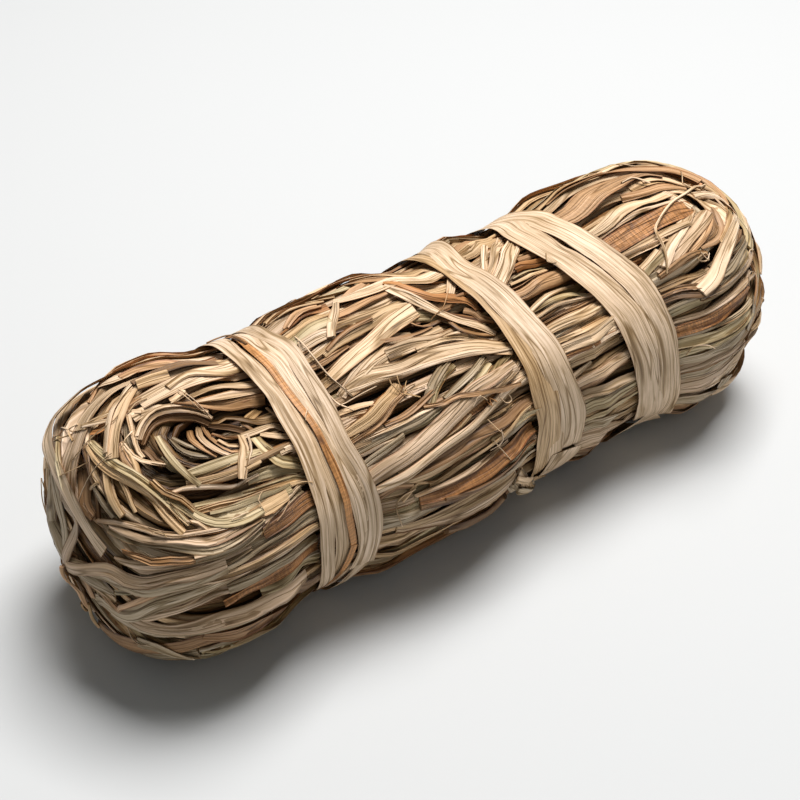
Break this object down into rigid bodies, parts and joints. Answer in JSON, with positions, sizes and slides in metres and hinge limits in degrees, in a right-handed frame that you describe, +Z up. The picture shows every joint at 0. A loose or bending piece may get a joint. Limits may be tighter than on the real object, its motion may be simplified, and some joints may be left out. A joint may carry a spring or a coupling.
{
  "type": "bundle of raffia",
  "caption": "Hank of dried raffia palm strips, wound to and fro into a blunt-ended roll and bound round with raffia ties, for weaving, tying and garden use.",
  "frame": {"origin": "on the surface that the hank lies on, under the middle of its bounding box", "axes": "+Z up, +X along the roll towards its longer, blunter end, and the front of the roll towards -Y"},
  "size_m": [0.2308, 0.078, 0.0736],
  "materials": {
    "raffia_packed": "dry, dull, fibrous, in shade between the strips",
    "raffia_straw": "dry, satin, fine lengthwise fibres",
    "raffia_pale": "dry, satin, fine lengthwise fibres",
    "raffia_tan": "dry, satin, fine lengthwise fibres",
    "raffia_green": "dry, satin, greenish, fine lengthwise fibres",
    "raffia_rust": "dry, matt, coarse ribbed fibres",
    "raffia_tie": "dry, satin, creased, fine lengthwise fibres"
  },
  "bodies": {
    "root": {"packed_strips": "raffia_packed", "left_winding_strip_1": "raffia_tan", "right_winding_strip_1": "raffia_pale", "left_winding_strip_2": "raffia_green", "right_winding_strip_2": "raffia_straw", "left_winding_strip_3": "raffia_straw", "right_winding_strip_3": "raffia_green", "left_winding_strip_4": "raffia_tan", "right_winding_strip_4": "raffia_pale", "left_winding_strip_5": "raffia_pale", "right_winding_strip_5": "raffia_straw", "left_winding_strip_6": "raffia_straw", "right_winding_strip_6": "raffia_tan", "left_winding_strip_7": "raffia_green", "right_winding_strip_7": "raffia_green", "left_winding_strip_8": "raffia_pale", "right_winding_strip_8": "raffia_straw", "left_winding_strip_9": "raffia_straw", "right_winding_strip_9": "raffia_tan", "front_plain_strip_1": "raffia_pale", "front_plain_strip_2": "raffia_straw", "front_rust_strip": "raffia_rust", "front_green_strip": "raffia_green", "top_long_strip": "raffia_straw", "top_broad_strip": "raffia_pale", "top_folded_strip": "raffia_pale", "top_folded_leg": "raffia_straw", "back_slanting_strip_1": "raffia_straw", "back_slanting_strip_2": "raffia_tan", "back_slanting_strip_3": "raffia_green", "between_ties_strip_1": "raffia_pale", "between_ties_strip_2": "raffia_tan", "right_top_strip": "raffia_pale", "right_rust_strip": "raffia_rust", "right_front_rust_strip": "raffia_rust", "right_front_strip": "raffia_green", "left_end_short_strip": "raffia_straw", "left_end_upright_strip": "raffia_pale", "left_end_top_strip": "raffia_tan", "left_end_standing_strip": "raffia_pale", "top_curled_strip": "raffia_rust", "left_tie": "raffia_tie", "middle_tie": "raffia_tie", "right_tie": "raffia_tie"}
  },
  "joints": []
}
